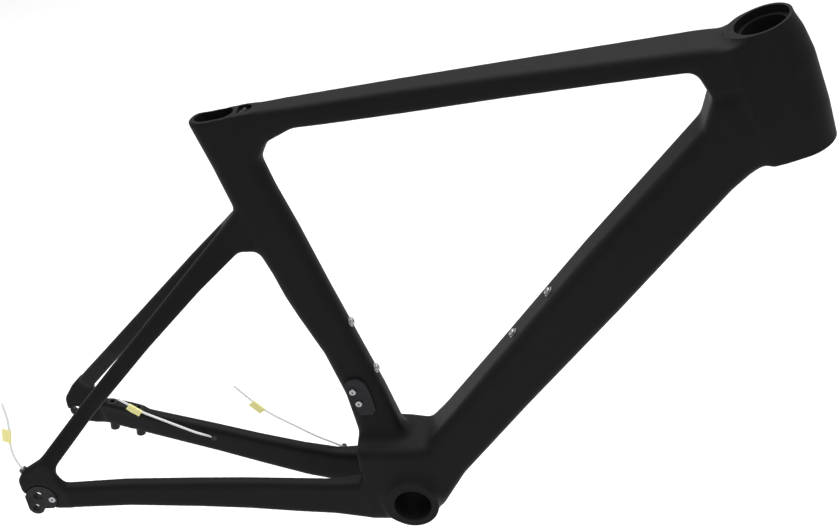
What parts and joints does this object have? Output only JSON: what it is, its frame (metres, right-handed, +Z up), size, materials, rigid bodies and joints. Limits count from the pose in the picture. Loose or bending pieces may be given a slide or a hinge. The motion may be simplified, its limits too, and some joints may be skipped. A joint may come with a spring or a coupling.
{
  "type": "bicycle frame",
  "caption": "Bare matt carbon road bicycle frame for disc brakes, with internal cable routing, wedge seat clamp, bottle mounts and loose cable liners.",
  "frame": {"origin": "centre of the bottom bracket bore", "axes": "+X forward, +Y to the rider's left along the bottom bracket's axis, +Z up with the frame level as on its wheels"},
  "size_m": [0.883, 0.1633, 0.5587],
  "materials": {
    "carbon": "raw matt carbon laminate",
    "steel": "bright plated steel",
    "black_steel": "black oxide steel",
    "bare_aluminium": "bare turned aluminium",
    "black_aluminium": "black anodised",
    "rubber": "matt rubber",
    "liner_plastic": "satin white polymer",
    "yellow_tape": "satin adhesive tape"
  },
  "bodies": {
    "frame": {"bottom_bracket_junction": "carbon", "bottom_bracket_shell": "carbon", "brake_hose_liner": "liner_plastic", "brake_hose_port": "rubber", "brake_hose_tag": "yellow_tape", "brake_mount_pad": "carbon", "brake_mount_sleeves": "bare_aluminium", "chainstay_left": "carbon", "chainstay_right": "carbon", "clamp_ramp": "black_aluminium", "derailleur_hanger": "black_aluminium", "down_tube": "carbon", "down_tube_boss_lower": "bare_aluminium", "down_tube_boss_upper": "bare_aluminium", "dropout_left": "carbon", "dropout_right": "carbon", "front_derailleur_mount": "black_aluminium", "gear_cable_liner": "liner_plastic", "gear_cable_port": "rubber", "gear_cable_tag": "yellow_tape", "head_tube": "carbon", "lower_headset_seat": "carbon", "seat_tube_boss_lower": "bare_aluminium", "seat_tube_boss_upper": "bare_aluminium", "seat_tube_lower": "carbon", "seat_tube_upper": "carbon", "seatpost_sleeve": "carbon", "seatstay_bridge": "carbon", "seatstay_left": "carbon", "seatstay_right": "carbon", "shift_cable_liner": "liner_plastic", "shift_cable_port": "rubber", "shift_cable_tag": "yellow_tape", "thru_axle_insert": "bare_aluminium", "top_tube": "carbon", "upper_headset_seat": "carbon"},
    "down_tube_cage_screw_lower": {"down_tube_cage_screw_lower": "steel"},
    "down_tube_cage_screw_upper": {"down_tube_cage_screw_upper": "steel"},
    "front_mount_screw_lower": {"front_mount_screw_lower": "steel"},
    "front_mount_screw_upper": {"front_mount_screw_upper": "steel"},
    "hanger_screw": {"hanger_screw": "steel"},
    "seat_tube_cage_screw_lower": {"seat_tube_cage_screw_lower": "steel"},
    "seat_tube_cage_screw_upper": {"seat_tube_cage_screw_upper": "steel"},
    "clamp_screw": {"clamp_screw": "black_steel"},
    "clamp_wedge": {"clamp_wedge": "black_aluminium"}
  },
  "joints": [
    {"name": "down_tube_cage_screw_lower_turn", "type": "hinge", "parent": "frame", "child": "down_tube_cage_screw_lower", "pos_m": [0.12974, 0, 0.19444], "axis": [-0.7617, 0, 0.6479], "range_deg": [0, 3600]},
    {"name": "down_tube_cage_screw_upper_turn", "type": "hinge", "parent": "frame", "child": "down_tube_cage_screw_upper", "pos_m": [0.1712, 0, 0.24319], "axis": [-0.7617, 0, 0.6479], "range_deg": [0, 3600]},
    {"name": "front_mount_screw_lower_turn", "type": "hinge", "parent": "frame", "child": "front_mount_screw_lower", "pos_m": [-0.0432, -0.018, 0.1265], "axis": [0, -1, 0], "range_deg": [0, 2880]},
    {"name": "front_mount_screw_upper_turn", "type": "hinge", "parent": "frame", "child": "front_mount_screw_upper", "pos_m": [-0.0475, -0.018, 0.1425], "axis": [0, -1, 0], "range_deg": [0, 2880]},
    {"name": "hanger_screw_turn", "type": "hinge", "parent": "frame", "child": "hanger_screw", "pos_m": [-0.3896, -0.0805, 0.0646], "axis": [0, -1, 0], "range_deg": [0, 2880]},
    {"name": "seat_tube_cage_screw_lower_turn", "type": "hinge", "parent": "frame", "child": "seat_tube_cage_screw_lower", "pos_m": [-0.02138, 0, 0.15973], "axis": [0.9629, 0, 0.27], "range_deg": [0, 3600]},
    {"name": "seat_tube_cage_screw_upper_turn", "type": "hinge", "parent": "frame", "child": "seat_tube_cage_screw_upper", "pos_m": [-0.03866, 0, 0.22136], "axis": [0.9629, 0, 0.27], "range_deg": [0, 3600]},
    {"name": "clamp_screw_turn", "type": "hinge", "parent": "frame", "child": "clamp_screw", "pos_m": [-0.10189, 0, 0.47241], "axis": [0.3971, 0, -0.9178], "range_deg": [0, 1800]},
    {"name": "clamp_wedge_rise", "type": "slide", "parent": "frame", "child": "clamp_wedge", "axis": [-0.3971, 0, 0.9178], "range_m": [0, 0.004]}
  ],
  "couplings": [
    {"joint": "clamp_screw_turn", "follows": "clamp_wedge_rise", "rad_per_m": 7854}
  ]
}
